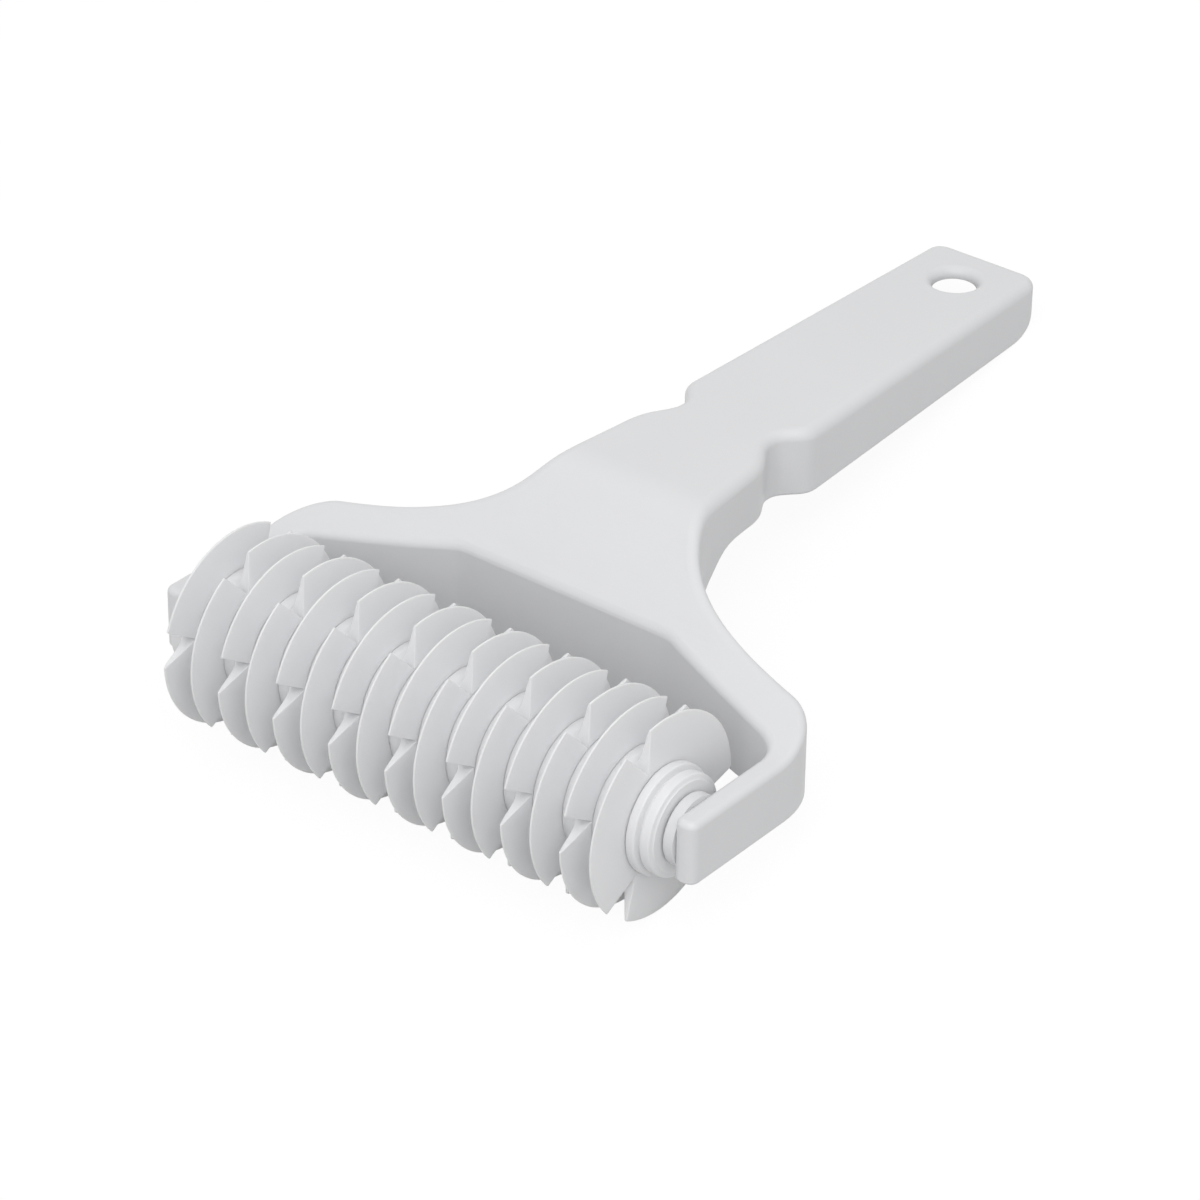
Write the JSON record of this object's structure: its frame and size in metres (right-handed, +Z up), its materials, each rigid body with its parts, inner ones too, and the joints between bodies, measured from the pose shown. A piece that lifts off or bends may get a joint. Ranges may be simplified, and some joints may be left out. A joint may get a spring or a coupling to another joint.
{
  "type": "lattice roller cutter",
  "caption": "Lattice roller cutter for pastry: staggered, notched cutting discs that spin on an axle between the arms of a one-piece cranked handle with a hanging hole.",
  "frame": {"origin": "middle of the resting tool's footprint, on the table plane", "axes": "+X along the roller, +Y from the roller towards the end of the grip, +Z up; the tool rests on its blades and on the end of its grip"},
  "size_m": [0.1234, 0.1876, 0.0392],
  "materials": {
    "handle_plastic": "satin",
    "roller_plastic": "satin",
    "axle_plastic": "satin"
  },
  "bodies": {
    "handle": {"handle_frame": "handle_plastic"},
    "roller": {"cutter_disc_01": "roller_plastic", "cutter_disc_02": "roller_plastic", "cutter_disc_03": "roller_plastic", "cutter_disc_04": "roller_plastic", "cutter_disc_05": "roller_plastic", "cutter_disc_06": "roller_plastic", "cutter_disc_07": "roller_plastic", "cutter_disc_08": "roller_plastic", "cutter_disc_09": "roller_plastic", "cutter_disc_10": "roller_plastic", "cutter_disc_11": "roller_plastic", "cutter_disc_12": "roller_plastic", "cutter_disc_13": "roller_plastic", "cutter_disc_14": "roller_plastic", "cutter_disc_15": "roller_plastic", "cutter_disc_16": "roller_plastic", "roller_axle": "axle_plastic", "end_collar": "roller_plastic", "thrust_washer": "axle_plastic"}
  },
  "joints": [
    {"name": "roller_spin", "type": "hinge", "parent": "handle", "child": "roller", "pos_m": [0, -0.0742, 0.0196], "axis": [1, 0, 0], "continuous": true}
  ]
}
